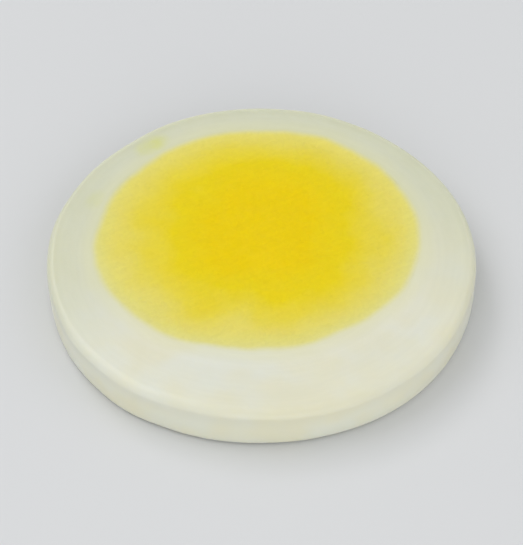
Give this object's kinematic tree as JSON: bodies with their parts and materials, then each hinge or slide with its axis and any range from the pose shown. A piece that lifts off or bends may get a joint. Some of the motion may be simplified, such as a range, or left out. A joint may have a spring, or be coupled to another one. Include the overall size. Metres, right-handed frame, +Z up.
{
  "type": "hard boiled egg slice",
  "caption": "Round slice of hard boiled egg: a ring of smooth cooked white round an off-centre yellow yolk, lying flat on its cut face.",
  "frame": {"origin": "on the surface that the slice lies on, under the centre of its bounding box", "axes": "+Z up out of the upper cut face; +X along the slice's slightly longer diameter; the yolk lies nearer the +Y side"},
  "size_m": [0.0438, 0.0432, 0.0051],
  "materials": {
    "cooked_egg_white": "smooth, moist and slightly translucent ivory white",
    "cooked_egg_yolk": "matte, fine-grained lemon yellow, paler towards its edge"
  },
  "bodies": {
    "root": {"egg_white": "cooked_egg_white", "egg_yolk": "cooked_egg_yolk"}
  },
  "joints": []
}
